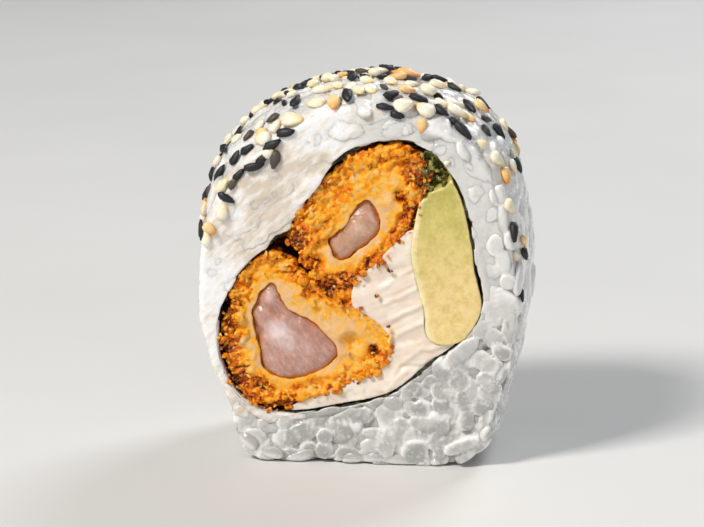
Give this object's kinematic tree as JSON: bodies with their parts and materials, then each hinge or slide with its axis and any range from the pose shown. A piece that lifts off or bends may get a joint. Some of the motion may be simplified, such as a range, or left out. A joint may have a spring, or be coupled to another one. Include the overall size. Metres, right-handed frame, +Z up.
{
  "type": "crunchy shrimp roll",
  "caption": "Piece of an inside-out sushi roll with sesame on its rice, around nori, breaded shrimps, avocado and soft white cheese.",
  "frame": {"origin": "centre of the flat foot that the piece rests on", "axes": "+Z up, +Y along the roll's axis from the front cut face to the back one, +X to the right seen from the front"},
  "size_m": [0.0497, 0.0274, 0.0558],
  "materials": {
    "rice": "moist translucent cooked rice",
    "black_sesame": "satin black seed coat",
    "white_sesame": "satin cream seed coat, some toasted",
    "nori": "damp dark green-black seaweed sheet",
    "fried_crust": "craggy golden-brown fried crumb",
    "shrimp_meat": "moist translucent cooked shrimp",
    "avocado": "smooth cut flesh, greener at one end",
    "cream_cheese": "soft spread with fine knife drag lines"
  },
  "bodies": {
    "root": {"rice": "rice", "nori": "nori", "upper_crust": "fried_crust", "upper_shrimp": "shrimp_meat", "lower_crust": "fried_crust", "lower_shrimp": "shrimp_meat", "avocado": "avocado", "cream_cheese": "cream_cheese"}
  },
  "joints": []
}
